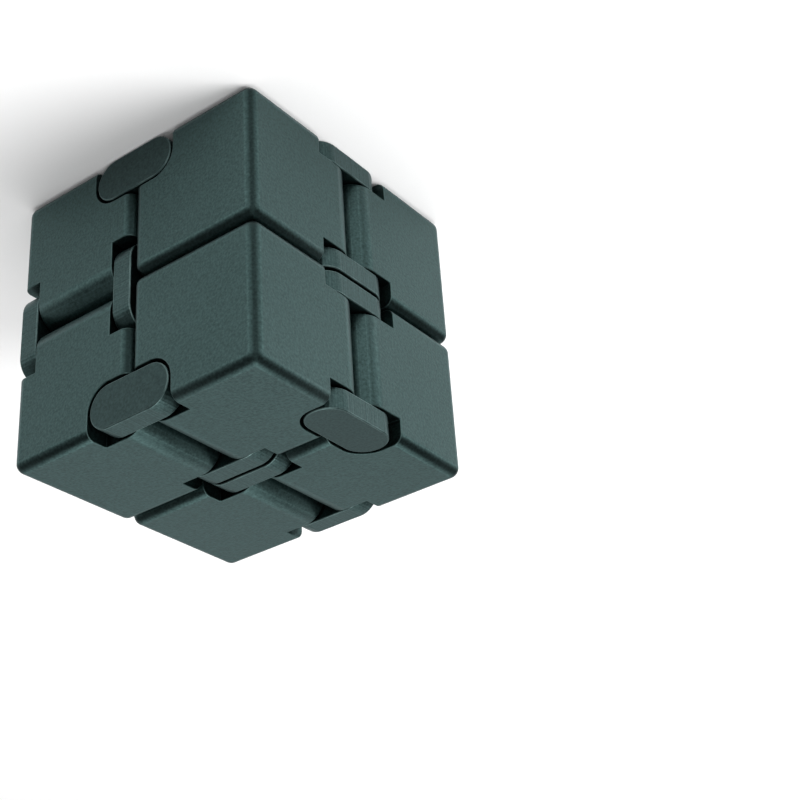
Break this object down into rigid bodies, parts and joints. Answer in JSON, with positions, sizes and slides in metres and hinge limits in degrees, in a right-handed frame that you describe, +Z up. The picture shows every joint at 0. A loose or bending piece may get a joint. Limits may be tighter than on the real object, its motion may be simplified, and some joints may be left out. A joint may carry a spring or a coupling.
{
  "type": "folding fidget cube",
  "caption": "Closed metal fidget cube of solid blocks joined in a ring by double-pivot hinges, each with two flush round-ended links and two pins, so that it folds open again and again.",
  "frame": {"origin": "centre of the closed cube's underside", "axes": "+Z up, along the spine hinges' axes; -X is the face with the spine hinges; -Y is the front, with one vertical link on its right half"},
  "size_m": [0.04, 0.04, 0.04],
  "materials": {
    "block_metal": "bead blasted and anodised dark grey-green, satin",
    "link_metal": "fine bead blasted and anodised dark grey-green, a little smoother than the blocks",
    "pin_steel": "ground steel dowel, plain"
  },
  "bodies": {
    "right_front_pair": {"lower_right_front_block": "block_metal", "upper_right_front_block": "block_metal", "side_front_link_outer": "link_metal", "side_front_link_inner": "link_metal", "side_front_pin_upper": "pin_steel", "side_front_pin_lower": "pin_steel"},
    "bottom_front_hinge": {"bottom_front_link_outer": "link_metal", "bottom_front_link_inner": "link_metal", "bottom_front_pin_right": "pin_steel", "bottom_front_pin_left": "pin_steel"},
    "lower_left_front": {"lower_left_front_block": "block_metal"},
    "spine_lower_hinge": {"spine_lower_link_outer": "link_metal", "spine_lower_link_inner": "link_metal", "spine_lower_pin_back": "pin_steel", "spine_lower_pin_front": "pin_steel"},
    "lower_left_back": {"lower_left_back_block": "block_metal"},
    "bottom_back_hinge": {"bottom_back_link_outer": "link_metal", "bottom_back_link_inner": "link_metal", "bottom_back_pin_right": "pin_steel", "bottom_back_pin_left": "pin_steel"},
    "right_back_pair": {"lower_right_back_block": "block_metal", "upper_right_back_block": "block_metal", "side_back_link_outer": "link_metal", "side_back_link_inner": "link_metal", "side_back_pin_upper": "pin_steel", "side_back_pin_lower": "pin_steel"},
    "top_back_hinge": {"top_back_link_outer": "link_metal", "top_back_link_inner": "link_metal", "top_back_pin_right": "pin_steel", "top_back_pin_left": "pin_steel"},
    "upper_left_back": {"upper_left_back_block": "block_metal"},
    "top_front_hinge": {"top_front_link_outer": "link_metal", "top_front_link_inner": "link_metal", "top_front_pin_right": "pin_steel", "top_front_pin_left": "pin_steel"},
    "upper_left_front": {"upper_left_front_block": "block_metal"},
    "spine_upper_hinge": {"spine_upper_link_outer": "link_metal", "spine_upper_link_inner": "link_metal", "spine_upper_pin_back": "pin_steel", "spine_upper_pin_front": "pin_steel"}
  },
  "joints": [
    {"name": "bottom_fold", "type": "hinge", "parent": "right_front_pair", "child": "bottom_front_hinge", "pos_m": [0.0034, 0, 0.0032], "axis": [0, -1, 0], "range_deg": [0, 90]},
    {"name": "bottom_front_second", "type": "hinge", "parent": "bottom_front_hinge", "child": "lower_left_front", "pos_m": [-0.0034, 0, 0.0032], "axis": [0, -1, 0], "range_deg": [0, 90]},
    {"name": "spine_fold", "type": "hinge", "parent": "lower_left_front", "child": "spine_lower_hinge", "pos_m": [-0.0168, -0.0034, 0], "axis": [0, 0, 1], "range_deg": [0, 90]},
    {"name": "spine_lower_second", "type": "hinge", "parent": "spine_lower_hinge", "child": "lower_left_back", "pos_m": [-0.0168, 0.0034, 0], "axis": [0, 0, 1], "range_deg": [0, 90]},
    {"name": "bottom_back_second", "type": "hinge", "parent": "lower_left_back", "child": "bottom_back_hinge", "pos_m": [-0.0034, 0, 0.0032], "axis": [0, 1, 0], "range_deg": [0, 90]},
    {"name": "bottom_back_first", "type": "hinge", "parent": "bottom_back_hinge", "child": "right_back_pair", "pos_m": [0.0034, 0, 0.0032], "axis": [0, 1, 0], "range_deg": [0, 90]},
    {"name": "top_fold", "type": "hinge", "parent": "right_front_pair", "child": "top_front_hinge", "pos_m": [0.0034, 0, 0.0368], "axis": [0, 1, 0], "range_deg": [0, 90]},
    {"name": "top_front_second", "type": "hinge", "parent": "top_front_hinge", "child": "upper_left_front", "pos_m": [-0.0034, 0, 0.0368], "axis": [0, 1, 0], "range_deg": [0, 90]},
    {"name": "top_back_first", "type": "hinge", "parent": "right_back_pair", "child": "top_back_hinge", "pos_m": [0.0034, 0, 0.0368], "axis": [0, 1, 0], "range_deg": [0, 90]},
    {"name": "top_back_second", "type": "hinge", "parent": "top_back_hinge", "child": "upper_left_back", "pos_m": [-0.0034, 0, 0.0368], "axis": [0, 1, 0], "range_deg": [0, 90]},
    {"name": "spine_upper_first", "type": "hinge", "parent": "upper_left_front", "child": "spine_upper_hinge", "pos_m": [-0.0168, -0.0034, 0.04], "axis": [0, 0, 1], "range_deg": [0, 90]}
  ],
  "couplings": [
    {"joint": "bottom_front_second", "follows": "bottom_fold", "ratio": 1},
    {"joint": "bottom_back_second", "follows": "bottom_fold", "ratio": 1},
    {"joint": "bottom_back_first", "follows": "bottom_fold", "ratio": 1},
    {"joint": "spine_lower_second", "follows": "spine_fold", "ratio": 1},
    {"joint": "spine_upper_first", "follows": "spine_fold", "ratio": 1},
    {"joint": "top_front_second", "follows": "top_fold", "ratio": 1},
    {"joint": "top_back_first", "follows": "top_fold", "ratio": 1},
    {"joint": "top_back_second", "follows": "top_fold", "ratio": 1}
  ]
}
